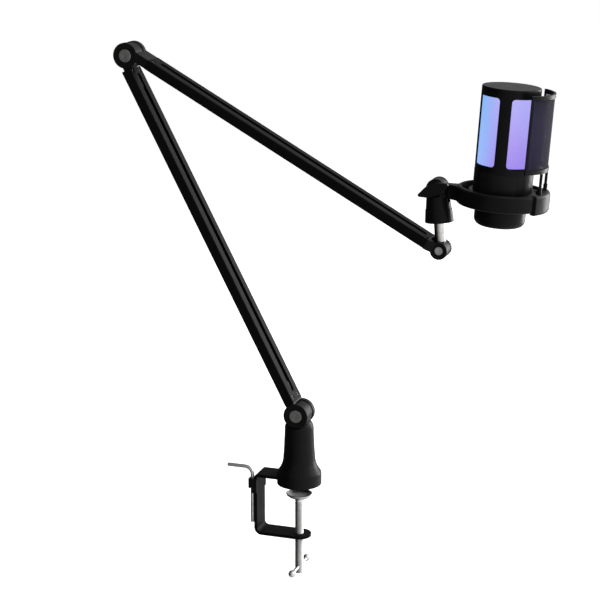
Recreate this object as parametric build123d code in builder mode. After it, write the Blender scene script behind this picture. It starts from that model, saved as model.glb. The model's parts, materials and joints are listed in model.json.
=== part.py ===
from build123d import *
import os
from math import cos, radians, sin

# A condenser microphone on a two-section boom arm with a desk clamp, in millimetres, +Z up.
# The origin is the middle of the clamp's pad where it meets the table, on the swivel axis.
# X runs along the clamp and the arms, and every arm hinge turns about a line along Y.

# Arms: lengths between hinges, and the angles they are stored at
HINGE_HEIGHT = 67.0
LOWER_LENGTH = 357.0
LOWER_LEAN = 27.5
UPPER_LENGTH = 329.3
UPPER_FALL = 29.25
ELBOW_DROP_LOWER = 5.36
ELBOW_DROP_UPPER = 4.0
ARM_WIDTH = 23.2
ARM_HEIGHT = 9.1
ARM_CORNER = 1.1
ARM_WALL = 1.4
SLOT_WIDTH = 6.2
PLUG_LENGTH = 19.0
PLUG_SLACK = 0.05
END_SCREW_SPREAD = 6.4
NECK_INSET = 0.3

# Arm hinges: two cheeks, a tongue between them, friction washers and a bolt
HINGE_RADIUS = 11.5
TONGUE_RADIUS = 10.8
TONGUE_HALF = 5.2
CHEEK_INNER = 6.05
SADDLE_GAP = 0.35
WASHER_RADIUS = 9.0
BOLT_RADIUS = 3.0
BOLT_HEAD_RADIUS = 5.9
BOLT_HEAD_DEPTH = 1.4
NUT_DEPTH = 3.2
RUNNING_GAP = 0.05

# Tip hinge
TIP_RADIUS = 7.6
TIP_WIDTH = 17.4
TIP_TONGUE_HALF = 4.4
TIP_CHEEK_INNER = 5.0
TIP_BOLT_RADIUS = 2.5
TIP_HEAD_RADIUS = 3.7

# Base housing and clamp
FLANGE_RADIUS = 20.4
FLANGE_BOTTOM = 0.15
FLANGE_TOP = 10.5
NECK_RADIUS = 13.45
HOUSING_TOP = 46.0
SPINDLE_RADIUS = 4.0
BUSH_RADIUS = 6.5
STRIP_WIDTH = 22.0
STRIP_THICK = 3.0
STRIP_TOP = 7.6
POST_OUTER = -40.5
LOWER_STRIP_TOP = -48.5
SCREW_RADIUS = 4.0
SCREW_END = -88.0
DISH_RIM = -9.5
DISH_RADIUS = 12.2
TOMMY_HEIGHT = -81.5
TOMMY_HALF = 20.4
KEY_RADIUS = 1.73

# Microphone mount
STUD_TILT = 4.2
STUD_RADIUS = 4.76
SOCKET_BOTTOM = 24.5
PIVOT_RISE = 54.0
PIVOT_RADIUS = 8.5
MIC_TILT = 3.85
RING_REACH = 56.05
RING_RADIUS = 38.2
RING_INNER = 34.8
RING_LOW = -7.9
RING_HIGH = 6.6
SOCKET_SPAN = 33.0

# Microphone
MIC_RADIUS = 24.95
SHELL_WALL = 1.6
MIC_TOP = 93.0
CAP_BOTTOM = 89.6
SEAM = 22.6
WINDOW_LOW = 27.4
WINDOW_HIGH = 85.4
POST_HALF_ANGLE = 11.8
CAGE_YAW = 2.8
HOUSING_FLOOR = -8.4
KNOB_RADIUS = 22.2
KNOB_BOTTOM = -25.4

# Pop filter
FILTER_RADIUS = 36.0
FILTER_HALF_ANGLE = 50.3
FILTER_LOW = 25.0
FILTER_HIGH = 90.3
PRONG_ANGLE = 19.0

# Small fixings and details
HOUSING_SCREWS = [(-11.0, 0), (9.5, 0)]
HOUSING_SCREW_HEAD = 2.8
HOUSING_SCREW_SHANK = 1.5
BUSH_FLANGE_RADIUS = 9.5
END_SCREW_HEAD = 1.95
END_SCREW_SHANK = 1.2
LOWER_TUBE_START = 12.1
LOWER_TUBE_END = 345.1
UPPER_TUBE_START = 21.3
UPPER_TUBE_END = 316.5
TOMMY_RADIUS = 1.6
KEY_X = POST_OUTER - 2.4
KEY_Y = -8.1
STUD_SPIGOT = 2.4
WING_STUD_RADIUS = 2.5
WING_TURN = 19.0
LOWER_RADIUS = 25.1
LABEL_LOW = 3.0
LABEL_HIGH = 21.8
LABEL_HALF_ANGLE = 37.5
CRADLE_RADIUS = 28.4
ISOLATOR_OUTER = 34.75
PRONG_RADIUS = 1.0


def save(builder, label):
    """Name a finished piece and write its file."""
    builder.part.label = label
    export_step(builder.part, f"parts/{label}.step")


def arm_plane(origin, angle, facing):
    """A side-view plane: its X points at an angle above +X, its Z along Y or against it."""
    direction = (cos(radians(angle)), 0, sin(radians(angle)))
    return Plane(origin=origin, x_dir=direction, z_dir=(0, facing, 0))


def across(plane, x):
    """A plane square to a side-view plane's X, at a distance along it."""
    return Plane(origin=plane.from_local_coords((x, 0, 0)), x_dir=plane.y_dir, z_dir=plane.x_dir)


def on_top(plane, y):
    """A plane square to a side-view plane's Y, at a height along it."""
    return Plane(origin=plane.from_local_coords((0, y, 0)), x_dir=plane.x_dir, z_dir=plane.y_dir)


def side_of(plane):
    """The side view of a plane: the same X, with the plane's Z as its Y."""
    return Plane(origin=plane.origin, x_dir=plane.x_dir, z_dir=-plane.y_dir)


LOWER = arm_plane((0, 0, HINGE_HEIGHT), 90 + LOWER_LEAN, 1)
ELBOW_IN_LOWER = (LOWER_LENGTH, ELBOW_DROP_LOWER)
ELBOW = LOWER.from_local_coords((LOWER_LENGTH, ELBOW_DROP_LOWER, 0))
UPPER_AT_ELBOW = arm_plane(ELBOW, -UPPER_FALL, -1)
UPPER = arm_plane(UPPER_AT_ELBOW.from_local_coords((0, ELBOW_DROP_UPPER, 0)), -UPPER_FALL, -1)
ELBOW_IN_UPPER = (0, -ELBOW_DROP_UPPER)
TIP_IN_UPPER = (UPPER_LENGTH, 0)
TIP = UPPER.from_local_coords((UPPER_LENGTH, 0, 0))
STUD = Plane(origin=TIP, x_dir=(cos(radians(STUD_TILT)), 0, sin(radians(STUD_TILT))),
             z_dir=(-sin(radians(STUD_TILT)), 0, cos(radians(STUD_TILT))))
PIVOT = STUD.from_local_coords((0, 0, PIVOT_RISE))
MIC_X = (cos(radians(MIC_TILT)), 0, -sin(radians(MIC_TILT)))
MIC_Z = (sin(radians(MIC_TILT)), 0, cos(radians(MIC_TILT)))
ARM_PIVOT = Plane(origin=PIVOT, x_dir=MIC_X, z_dir=MIC_Z)
MIC = Plane(origin=ARM_PIVOT.from_local_coords((RING_REACH, 0, 0)), x_dir=MIC_X, z_dir=MIC_Z)
MIC_SIDE = side_of(MIC)
MIC_AXIS = Axis(MIC.origin, MIC.z_dir)
STUD_SIDE = side_of(STUD)
STUD_AXIS = Axis(STUD.origin, STUD.z_dir)


def revolved(side, axis, outline):
    """A round piece from its half outline of (radius, height) points."""
    with BuildPart() as piece:
        with BuildSketch(side):
            with BuildLine():
                Polyline(*outline, close=True)
            make_face()
        revolve(axis=axis)
    return piece


def sleeve(side, axis, inner, outer, low, high):
    """A plain ring or tube."""
    return revolved(side, axis, [(inner, low), (outer, low), (outer, high), (inner, high)])


def turned(plane, angle):
    """The same plane, turned about its own Z."""
    x_dir = plane.x_dir * cos(radians(angle)) + plane.y_dir * sin(radians(angle))
    return Plane(origin=plane.origin, x_dir=x_dir, z_dir=plane.z_dir)


def sector(plane, inner, outer, low, high, half_angle):
    """Part of a ring that is centred on the plane's X, made apart from any other piece."""
    with BuildPart(mode=Mode.PRIVATE) as piece:
        with BuildSketch(side_of(plane)):
            with Locations(((inner + outer) / 2, (low + high) / 2)):
                Rectangle(outer - inner, high - low)
        revolve(axis=Axis(plane.origin, plane.z_dir), revolution_arc=2 * half_angle)
    return piece.part.rotate(Axis(plane.origin, plane.z_dir), -half_angle)


# ---------------------------------------------------------------- clamp and base

def round_end(centre_x, low, radius):
    """The corners to cut from a strip's end, so that it ends in a half circle."""
    with BuildPart(mode=Mode.PRIVATE) as corners:
        with BuildSketch(Plane.XY.offset(low)):
            with Locations((centre_x + radius, 0)):
                Rectangle(2 * radius, 2 * radius + 1)
            with Locations((centre_x, 0)):
                Circle(radius, mode=Mode.SUBTRACT)
        extrude(amount=STRIP_THICK)
    return corners.part


def make_clamp_frame():
    """A steel strip bent into a C: its top end lies in the housing, its lower end takes the screw."""
    reach_top = 14.5
    top_bend, bottom_bend, inner_bend = 4.0, 7.0, 1.2
    half_width = STRIP_WIDTH / 2
    low = LOWER_STRIP_TOP - STRIP_THICK
    with BuildPart() as frame:
        with BuildSketch(Plane.XZ):
            with Locations(((POST_OUTER + reach_top) / 2, (STRIP_TOP + low) / 2)):
                Rectangle(reach_top - POST_OUTER, STRIP_TOP - low)
            with Locations((POST_OUTER + STRIP_THICK + 40, (STRIP_TOP + low) / 2)):
                Rectangle(80, STRIP_TOP - low - 2 * STRIP_THICK, mode=Mode.SUBTRACT)
        extrude(amount=half_width, both=True)
        uprights = frame.edges().filter_by(Axis.Y).group_by(Axis.X)
        outer = uprights[0].sort_by(Axis.Z)
        inner = uprights[1].sort_by(Axis.Z)
        fillet(outer[0], bottom_bend)
        fillet(inner[0], bottom_bend - STRIP_THICK)
        fillet(outer[-1], top_bend)
        fillet(inner[-1], inner_bend)
        add(round_end(0, low, half_width), mode=Mode.SUBTRACT)
        add(round_end(reach_top - half_width, STRIP_TOP - STRIP_THICK, half_width), mode=Mode.SUBTRACT)
        with BuildSketch(Plane.XY.offset(low)):
            Circle(SCREW_RADIUS + RUNNING_GAP)
        extrude(amount=STRIP_THICK, mode=Mode.SUBTRACT)
        with BuildSketch(Plane.XY.offset(STRIP_TOP - STRIP_THICK)):
            with Locations(*HOUSING_SCREWS):
                Circle(HOUSING_SCREW_HEAD)
        extrude(amount=STRIP_THICK, mode=Mode.SUBTRACT)
    save(frame, "clamp_frame")


def make_base_housing():
    """The bell: a flange over the clamp strip, a flare and a slim neck, bored for the swivel."""
    pad_top = STRIP_TOP - STRIP_THICK
    with BuildPart() as bell:
        with BuildSketch(Plane.XZ):
            with BuildLine():
                Polyline((0, FLANGE_BOTTOM), (FLANGE_RADIUS, FLANGE_BOTTOM), (FLANGE_RADIUS, FLANGE_TOP),
                         (19.8, 12.2))
                ThreePointArc((19.8, 12.2), (16.4, 17.8), (14.7, 25.0))
                Polyline((14.7, 25.0), (14.0, 34.0), (NECK_RADIUS, HOUSING_TOP), (0, HOUSING_TOP),
                         (0, FLANGE_BOTTOM))
            make_face()
        revolve(axis=Axis.Z)
        fillet(bell.edges().filter_by(GeomType.CIRCLE).group_by(Axis.Z)[0], 0.3)
        with BuildSketch(Plane.XY):
            Circle(FLANGE_RADIUS - 1.3)
        extrude(amount=pad_top, mode=Mode.SUBTRACT)
        with BuildSketch(Plane.XY.offset(pad_top)):
            with Locations((-6.4, 0)):
                Rectangle(42.2, STRIP_WIDTH + 0.2)
        extrude(amount=STRIP_THICK + 0.1, mode=Mode.SUBTRACT)
        with BuildSketch(Plane.XY):
            Circle(BUSH_RADIUS)
        extrude(amount=HOUSING_TOP, mode=Mode.SUBTRACT)
        with BuildSketch(Plane.XY.offset(HOUSING_TOP - 1.3)):
            Circle(BUSH_FLANGE_RADIUS)
        extrude(amount=2, mode=Mode.SUBTRACT)
        with BuildSketch(Plane.XY.offset(STRIP_TOP)):
            with Locations(*HOUSING_SCREWS):
                Circle(HOUSING_SCREW_SHANK)
        extrude(amount=9, mode=Mode.SUBTRACT)
    save(bell, "base_housing")


def make_base_fittings():
    """What the housing holds: rubber pad, fixing screws, nylon bush and hex key clip."""
    pad_top = STRIP_TOP - STRIP_THICK
    save(sleeve(Plane.XZ, Axis.Z, 3.0, FLANGE_RADIUS - 1.4, 0, pad_top), "table_pad")

    with BuildPart() as screws:
        with BuildSketch(Plane.XY.offset(pad_top)):
            with Locations(*HOUSING_SCREWS):
                Circle(HOUSING_SCREW_HEAD - 0.05)
        extrude(amount=STRIP_THICK)
        with BuildSketch(Plane.XY.offset(STRIP_TOP)):
            with Locations(*HOUSING_SCREWS):
                Circle(HOUSING_SCREW_SHANK - 0.05)
        extrude(amount=8)
        with BuildSketch(Plane.XY.offset(pad_top)):
            with Locations(*HOUSING_SCREWS):
                RegularPolygon(1.25, 6)
        extrude(amount=1.4, mode=Mode.SUBTRACT)
    save(screws, "housing_screws")

    inner = SPINDLE_RADIUS + RUNNING_GAP
    flange_low = HOUSING_TOP - 1.3
    bush = revolved(Plane.XZ, Axis.Z, [
        (inner, 16), (BUSH_RADIUS, 16), (BUSH_RADIUS, flange_low), (BUSH_FLANGE_RADIUS, flange_low),
        (BUSH_FLANGE_RADIUS, HOUSING_TOP + 0.1), (inner, HOUSING_TOP + 0.1)])
    save(bush, "swivel_bush")


def make_key_clip():
    """A plastic clip that wraps the clamp's post and grips the hex key."""
    low, high = -10.5, 2.5
    half_width = STRIP_WIDTH / 2
    with BuildPart() as clip:
        with BuildSketch(Plane.XY.offset(low)):
            with Locations((POST_OUTER + 0.6, 0)):
                Rectangle(5.4, STRIP_WIDTH + 3.2)
            with Locations((POST_OUTER + 2.3, 0)):
                Rectangle(4.7, STRIP_WIDTH + 0.1, mode=Mode.SUBTRACT)
        extrude(amount=high - low)
        with BuildSketch(Plane.XY.offset(low + 4)):
            with Locations((KEY_X, KEY_Y)):
                Rectangle(6.4, 6.4)
        extrude(amount=high - low - 4)
        with BuildSketch(Plane.XY.offset(low)):
            with Locations((POST_OUTER + 1.5, 0)):
                Rectangle(3.0, STRIP_WIDTH, mode=Mode.ADD)
            with Locations((KEY_X, KEY_Y)):
                Circle(KEY_RADIUS + RUNNING_GAP)
        extrude(amount=high - low, mode=Mode.SUBTRACT)
        chamfer(clip.edges().filter_by(Axis.Z).group_by(Axis.X)[0], 0.8)
    save(clip, "hex_key_clip")


def make_hex_key():
    """A three millimetre hex key: a long leg down the post and a short leg pointing outwards."""
    bend, top, bottom, tip = 7.0, 13.2, -40.3, -67.0
    with BuildPart() as key:
        with BuildLine(Plane.XZ.offset(-KEY_Y)):
            FilletPolyline((KEY_X, bottom), (KEY_X, top), (tip, top), radius=bend)
        with BuildSketch(Plane.XY.offset(bottom)):
            with Locations((KEY_X, KEY_Y)):
                RegularPolygon(KEY_RADIUS, 6, major_radius=True, rotation=30)
        sweep()
    save(key, "hex_key")


def make_clamp_screw():
    """The long screw with its swivelling dish and its sliding tommy bar."""
    spigot_top, neck_bottom = DISH_RIM - 3.9, DISH_RIM - 8.0
    head = revolved(Plane.XZ, Axis.Z, [
        (0, SCREW_END), (3.4, SCREW_END), (SCREW_RADIUS, SCREW_END + 0.6), (SCREW_RADIUS, neck_bottom),
        (2.6, neck_bottom), (2.6, spigot_top), (0, spigot_top)])
    with BuildPart() as screw:
        add(head.part)
        with BuildSketch(Plane.XZ):
            with Locations((0, TOMMY_HEIGHT)):
                Circle(TOMMY_RADIUS + RUNNING_GAP)
        extrude(amount=10, both=True, mode=Mode.SUBTRACT)
    save(screw, "clamp_screw")

    dish = revolved(Plane.XZ, Axis.Z, [
        (0, DISH_RIM - 3.2), (5.0, DISH_RIM - 3.1), (9.0, DISH_RIM - 1.9), (DISH_RADIUS - 0.9, DISH_RIM),
        (DISH_RADIUS, DISH_RIM - 0.4), (DISH_RADIUS - 0.5, DISH_RIM - 1.6), (9.4, DISH_RIM - 3.5),
        (5.6, DISH_RIM - 5.4), (3.9, DISH_RIM - 6.0), (3.9, neck_bottom + 0.1),
        (2.65, neck_bottom + 0.1), (2.65, spigot_top + 0.05), (0, spigot_top + 0.05)])
    save(dish, "pressure_dish")

    with BuildPart() as bar:
        with BuildSketch(Plane.XZ):
            with Locations((0, TOMMY_HEIGHT)):
                Circle(TOMMY_RADIUS)
        extrude(amount=TOMMY_HALF, both=True)
    save(bar, "tommy_bar")
    with BuildPart() as balls:
        with Locations((0, TOMMY_HALF, TOMMY_HEIGHT), (0, -TOMMY_HALF, TOMMY_HEIGHT)):
            Sphere(3.3)
        with BuildSketch(Plane.XZ):
            with Locations((0, TOMMY_HEIGHT)):
                Circle(TOMMY_RADIUS)
        extrude(amount=TOMMY_HALF, both=True, mode=Mode.SUBTRACT)
    save(balls, "tommy_bar_ends")


def make_swivel():
    """The knuckle that turns in the housing, its spindle below and its tongue above."""
    low = HOUSING_TOP + 0.15
    shoulder = 60.4
    with BuildPart() as knuckle:
        with BuildSketch(Plane.XZ):
            with BuildLine():
                Polyline((0, 12.0), (3.6, 12.0), (3.6, 14.9), (3.2, 14.9), (3.2, 15.9),
                         (SPINDLE_RADIUS, 15.9), (SPINDLE_RADIUS, low), (NECK_RADIUS, low),
                         (13.2, 52.0))
                ThreePointArc((13.2, 52.0), (12.5, shoulder - 3.4), (10.2, shoulder))
                Polyline((10.2, shoulder), (0, shoulder), (0, 12.0))
            make_face()
        revolve(axis=Axis.Z)
        with BuildSketch(Plane.XZ):
            with Locations((0, HINGE_HEIGHT)):
                Circle(HINGE_RADIUS + SADDLE_GAP)
        extrude(amount=20, both=True, mode=Mode.SUBTRACT)
        with BuildSketch(Plane.XZ):
            with Locations((0, HINGE_HEIGHT)):
                Circle(TONGUE_RADIUS)
            with Locations((0, (HINGE_HEIGHT + low + 2) / 2)):
                Rectangle(19.0, HINGE_HEIGHT - low - 2)
        extrude(amount=TONGUE_HALF, both=True)
        with BuildSketch(Plane.XZ):
            with Locations((0, HINGE_HEIGHT)):
                Circle(BOLT_RADIUS + RUNNING_GAP)
        extrude(amount=20, both=True, mode=Mode.SUBTRACT)
    save(knuckle, "swivel_knuckle")

    with BuildPart() as ring:
        with BuildSketch(Plane.XY.offset(14.9)):
            Circle(5.4)
            Circle(3.25, mode=Mode.SUBTRACT)
            with Locations((5, 0)):
                Rectangle(6, 4.0, mode=Mode.SUBTRACT)
        extrude(amount=0.95)
    save(ring, "retaining_ring")


# ---------------------------------------------------------------- arms

def make_arm_tube(label, arm, start, end, slot_start, slot_end, screws):
    """A flat aluminium tube with a cable slot along one face and holes for its end screws."""
    with BuildPart() as tube:
        with BuildSketch(across(arm, start)):
            RectangleRounded(ARM_HEIGHT, ARM_WIDTH, ARM_CORNER)
            Rectangle(ARM_HEIGHT - 2 * ARM_WALL, ARM_WIDTH - 2 * ARM_WALL, mode=Mode.SUBTRACT)
        extrude(amount=end - start)
        with BuildSketch(on_top(arm, ARM_HEIGHT / 2)):
            with Locations(((slot_start + slot_end) / 2, 0)):
                SlotOverall(slot_end - slot_start, SLOT_WIDTH)
            with Locations(*screws):
                Circle(END_SCREW_HEAD + RUNNING_GAP)
        extrude(amount=-ARM_WALL - 0.3, mode=Mode.SUBTRACT)
    save(tube, label)


def make_end_screws(label, arm, screws):
    """The small screws that hold the end fittings in one tube, as separate solids."""
    seat = ARM_HEIGHT / 2 - ARM_WALL - PLUG_SLACK
    head = 0.8
    with BuildPart() as group:
        with BuildSketch(on_top(arm, seat)):
            with Locations(*screws):
                Circle(END_SCREW_HEAD)
        extrude(amount=head)
        with BuildSketch(on_top(arm, seat)):
            with Locations(*screws):
                Circle(END_SCREW_SHANK)
        extrude(amount=-4.5)
        with BuildSketch(on_top(arm, seat + head)):
            with Locations(*screws):
                RegularPolygon(1.1, 6)
        extrude(amount=-0.7, mode=Mode.SUBTRACT)
    save(group, label)


def plug(arm, tube_end, inward):
    """The block of an end fitting that slides into the tube, made apart from any other piece."""
    with BuildPart(mode=Mode.PRIVATE) as block:
        with BuildSketch(arm):
            with Locations((tube_end + inward * PLUG_LENGTH / 2, 0)):
                Rectangle(PLUG_LENGTH, ARM_HEIGHT - 2 * (ARM_WALL + PLUG_SLACK))
        extrude(amount=ARM_WIDTH / 2 - ARM_WALL - PLUG_SLACK, both=True)
    return block.part


def screw_holes(arm, screws):
    """Pilot holes for the end screws, made apart from any other piece."""
    with BuildPart(mode=Mode.PRIVATE) as holes:
        with BuildSketch(on_top(arm, ARM_HEIGHT / 2)):
            with Locations(*screws):
                Circle(END_SCREW_SHANK + RUNNING_GAP)
        extrude(amount=-ARM_HEIGHT)
    return holes.part


def hinge_cuts(arm, hinge, width, bolt, head, head_depth, nut_depth, facing):
    """A hinge bolt's hole with a recess for its head on one cheek and its nut on the other."""
    head_side = Plane(origin=arm.from_local_coords((*hinge, facing * width / 2)),
                      x_dir=arm.x_dir, z_dir=arm.z_dir * facing)
    nut_side = Plane(origin=arm.from_local_coords((*hinge, -facing * width / 2)),
                     x_dir=arm.x_dir, z_dir=arm.z_dir * -facing)
    with BuildPart(mode=Mode.PRIVATE) as cuts:
        with BuildSketch(head_side):
            Circle(bolt + RUNNING_GAP)
        extrude(amount=-width)
        with BuildSketch(head_side):
            Circle(head + 0.3)
        extrude(amount=-head_depth)
        with BuildSketch(nut_side):
            Circle(head + 0.3)
        extrude(amount=-nut_depth)
    return cuts.part


def make_arm_fork(label, arm, hinge, tube_end, facing, screws):
    """An end fitting with two cheeks that hold the next tongue, moulded to a plug in the tube."""
    neck = ARM_HEIGHT / 2 - NECK_INSET
    with BuildPart() as fork:
        with BuildSketch(arm):
            with Locations(hinge):
                Circle(HINGE_RADIUS)
            with BuildLine():
                Polyline((hinge[0], -neck), (tube_end, -neck), (tube_end, neck),
                         (0.55 * HINGE_RADIUS, neck), (hinge[0], hinge[1] + 5), close=True)
            make_face()
        extrude(amount=ARM_WIDTH / 2 - NECK_INSET, both=True)
        fillet(fork.faces().filter_by(Axis.Y).edges(), 0.7)
        add(plug(arm, tube_end, 1))
        with BuildSketch(arm):
            with Locations(hinge):
                Circle(HINGE_RADIUS + SADDLE_GAP)
        extrude(amount=CHEEK_INNER, both=True, mode=Mode.SUBTRACT)
        add(hinge_cuts(arm, hinge, ARM_WIDTH, BOLT_RADIUS, BOLT_HEAD_RADIUS, BOLT_HEAD_DEPTH,
                       NUT_DEPTH, facing), mode=Mode.SUBTRACT)
        add(screw_holes(arm, screws), mode=Mode.SUBTRACT)
    save(fork, label)


def make_elbow_tongue(screws):
    """The lower arm's top fitting: a plug, and a tongue that stands between the elbow's cheeks."""
    with BuildPart() as tongue:
        with BuildSketch(LOWER):
            with Locations(ELBOW_IN_LOWER):
                Circle(TONGUE_RADIUS)
            with Locations(((LOWER_TUBE_END + LOWER_LENGTH) / 2, 0)):
                Rectangle(LOWER_LENGTH - LOWER_TUBE_END, ARM_HEIGHT - 0.1)
        extrude(amount=TONGUE_HALF, both=True)
        add(plug(LOWER, LOWER_TUBE_END, -1))
        with BuildSketch(LOWER):
            with Locations(ELBOW_IN_LOWER):
                Circle(BOLT_RADIUS + RUNNING_GAP)
        extrude(amount=20, both=True, mode=Mode.SUBTRACT)
        add(screw_holes(LOWER, screws), mode=Mode.SUBTRACT)
    save(tongue, "lower_arm_elbow_tongue")


def make_tip_fork(screws):
    """The upper arm's end fitting: it narrows from the tube to two slim cheeks."""
    start = UPPER_TUBE_END
    half = TIP_WIDTH / 2
    gap_depth = 11.6
    with BuildPart() as fork:
        with BuildSketch(UPPER):
            with Locations(TIP_IN_UPPER):
                Circle(TIP_RADIUS)
            with Locations(((start + UPPER_LENGTH) / 2, 0)):
                Rectangle(UPPER_LENGTH - start, ARM_HEIGHT)
        extrude(amount=ARM_WIDTH / 2, both=True)
        with BuildSketch(on_top(UPPER, -TIP_RADIUS - 1)):
            with BuildLine():
                Polyline((start, -ARM_WIDTH / 2), (start + 1.5, -ARM_WIDTH / 2), (start + 7.5, -half),
                         (start + 30, -half), (start + 30, half), (start + 7.5, half),
                         (start + 1.5, ARM_WIDTH / 2), (start, ARM_WIDTH / 2), close=True)
            make_face()
        extrude(amount=2 * TIP_RADIUS + 2, mode=Mode.INTERSECT)
        add(plug(UPPER, start, -1))
        with BuildSketch(UPPER):
            with Locations(TIP_IN_UPPER):
                Circle(TIP_RADIUS + SADDLE_GAP)
            with Locations((UPPER_LENGTH - gap_depth / 2, ARM_HEIGHT - 2.6)):
                Rectangle(gap_depth, 2 * ARM_HEIGHT)
        extrude(amount=TIP_CHEEK_INNER, both=True, mode=Mode.SUBTRACT)
        add(hinge_cuts(UPPER, TIP_IN_UPPER, TIP_WIDTH, TIP_BOLT_RADIUS, TIP_HEAD_RADIUS, 1.0, 1.9, 1),
            mode=Mode.SUBTRACT)
        add(screw_holes(UPPER, screws), mode=Mode.SUBTRACT)
    save(fork, "upper_arm_tip_fork")


def make_hinge_hardware(name, hinge, width, bolt, head, head_depth, nut_depth, inner, tongue, washer):
    """A hinge's bolt, nut and pair of friction washers; the plane's Z points at the bolt's head."""
    head_seat = width / 2 - head_depth
    nut_seat = -(width / 2 - nut_depth)
    with BuildPart() as shaft:
        with BuildSketch(hinge.offset(head_seat)):
            Circle(head)
        extrude(amount=head_depth - 0.25)
        chamfer(shaft.faces().sort_by(Axis(hinge.origin, hinge.z_dir))[-1].edges(), 0.3)
        with BuildSketch(hinge.offset(head_seat)):
            Circle(bolt)
        extrude(amount=-(head_seat - nut_seat + nut_depth - 0.4))
        with BuildSketch(hinge.offset(head_seat + head_depth - 0.25)):
            RegularPolygon(bolt * 0.72, 6)
        extrude(amount=-head_depth * 0.62, mode=Mode.SUBTRACT)
    save(shaft, f"{name}_bolt")

    with BuildPart() as nut:
        with BuildSketch(hinge.offset(nut_seat)):
            RegularPolygon(head - 0.1, 6)
            Circle(bolt + 0.02, mode=Mode.SUBTRACT)
        extrude(amount=-(nut_depth - 0.6))
    save(nut, f"{name}_nut")

    with BuildPart() as washers:
        for side in (tongue + 0.03, -inner + 0.02):
            with BuildSketch(hinge.offset(side)):
                Circle(washer)
                Circle(bolt + 0.1, mode=Mode.SUBTRACT)
            extrude(amount=inner - tongue - RUNNING_GAP)
    save(washers, f"{name}_washers")


def make_arms():
    """Both arms: tubes, end fittings, screws and hinge hardware."""
    spread = END_SCREW_SPREAD
    lower_base = [(16.6, -spread), (16.6, spread)]
    lower_elbow = [(342.4, -spread), (342.4, spread)]
    upper_elbow = [(24.6, -spread), (24.6, spread)]
    upper_tip = [(314.4, -8.0), (314.4, 8.0)]
    make_arm_tube("lower_arm_tube", LOWER, LOWER_TUBE_START, LOWER_TUBE_END, 21.0, 339.4,
                  lower_base + lower_elbow)
    make_arm_tube("upper_arm_tube", UPPER, UPPER_TUBE_START, UPPER_TUBE_END, 29.3, 312.3,
                  upper_elbow + upper_tip)
    make_end_screws("lower_arm_screws", LOWER, lower_base + lower_elbow)
    make_end_screws("upper_arm_screws", UPPER, upper_elbow + upper_tip)
    make_arm_fork("lower_arm_base_fork", LOWER, (0, 0), LOWER_TUBE_START, -1, lower_base)
    make_arm_fork("upper_arm_elbow_fork", UPPER, ELBOW_IN_UPPER, UPPER_TUBE_START, 1, upper_elbow)
    make_elbow_tongue(lower_elbow)
    make_tip_fork(upper_tip)

    large = (ARM_WIDTH, BOLT_RADIUS, BOLT_HEAD_RADIUS, BOLT_HEAD_DEPTH, NUT_DEPTH,
             CHEEK_INNER, TONGUE_HALF, WASHER_RADIUS)
    small = (TIP_WIDTH, TIP_BOLT_RADIUS, TIP_HEAD_RADIUS, 1.0, 1.9, TIP_CHEEK_INNER, TIP_TONGUE_HALF, 6.4)
    facing_out = (0, -1, 0)
    make_hinge_hardware("base_hinge", Plane(origin=LOWER.origin, z_dir=facing_out), *large)
    make_hinge_hardware("elbow", Plane(origin=ELBOW, z_dir=facing_out), *large)
    make_hinge_hardware("tip", Plane(origin=TIP, z_dir=facing_out), *small)


# ---------------------------------------------------------------- microphone mount

def make_stud():
    """The tip's tongue and the chromed stud that is screwed into it."""
    shoulder = 7.2
    with BuildPart() as tongue:
        with BuildSketch(STUD_SIDE):
            Circle(TIP_RADIUS - 0.2)
            with Locations((0, shoulder / 2)):
                Rectangle(2 * TIP_TONGUE_HALF, shoulder)
        extrude(amount=TIP_TONGUE_HALF, both=True)
        with BuildSketch(STUD_SIDE):
            with Locations((0, shoulder + 5)):
                Rectangle(20, 10)
        extrude(amount=20, both=True, mode=Mode.SUBTRACT)
        with BuildSketch(STUD_SIDE):
            Circle(TIP_BOLT_RADIUS + RUNNING_GAP)
        extrude(amount=20, both=True, mode=Mode.SUBTRACT)
        with BuildSketch(STUD.offset(4.0)):
            Circle(STUD_SPIGOT + 0.05)
        extrude(amount=6, mode=Mode.SUBTRACT)
    save(tongue, "stud_tongue")

    rod = revolved(STUD_SIDE, STUD_AXIS, [
        (0, 4.2), (STUD_SPIGOT, 4.2), (STUD_SPIGOT, shoulder), (STUD_RADIUS, shoulder),
        (STUD_RADIUS, 40.0), (STUD_RADIUS - 0.8, 41.0), (0, 41.0)])
    save(rod, "threaded_stud")


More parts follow.
